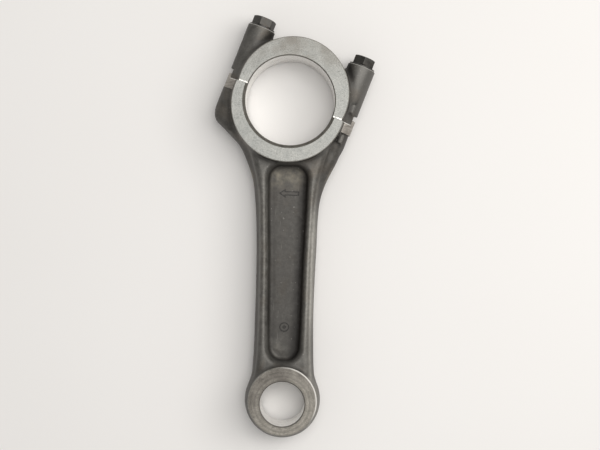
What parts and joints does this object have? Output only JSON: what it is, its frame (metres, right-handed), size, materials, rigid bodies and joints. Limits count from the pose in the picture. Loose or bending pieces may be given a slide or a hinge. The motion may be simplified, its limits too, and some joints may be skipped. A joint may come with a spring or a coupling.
{
  "type": "connecting rod",
  "caption": "Forged I-beam connecting rod with a bolted bearing cap split at an angle; the big end runs on a crankpin, the small end on a piston pin.",
  "frame": {"origin": "centre of the crankpin bore at mid width", "axes": "+Z along both bore axes, towards the face with the match marks; -Y down the beam to the piston-pin bore; +X to the side of the lower screw"},
  "size_m": [0.0774, 0.2007, 0.026],
  "materials": {
    "forged_aluminium": "satin",
    "screw_steel": "satin",
    "washer_steel": "satin"
  },
  "bodies": {
    "rod": {"rod_body": "forged_aluminium"},
    "cap": {"rod_cap": "forged_aluminium"},
    "screw_left": {"cap_screw_left": "screw_steel", "washer_left": "washer_steel"},
    "screw_right": {"cap_screw_right": "screw_steel", "washer_right": "washer_steel"}
  },
  "joints": [
    {"name": "cap_lift", "type": "slide", "parent": "rod", "child": "cap", "axis": [0.342, 0.9397, 0], "range_m": [0, 0.04]},
    {"name": "screw_left_out", "type": "slide", "parent": "cap", "child": "screw_left", "axis": [0.342, 0.9397, 0], "range_m": [0, 0.045]},
    {"name": "screw_right_out", "type": "slide", "parent": "cap", "child": "screw_right", "axis": [0.342, 0.9397, 0], "range_m": [0, 0.045]}
  ]
}
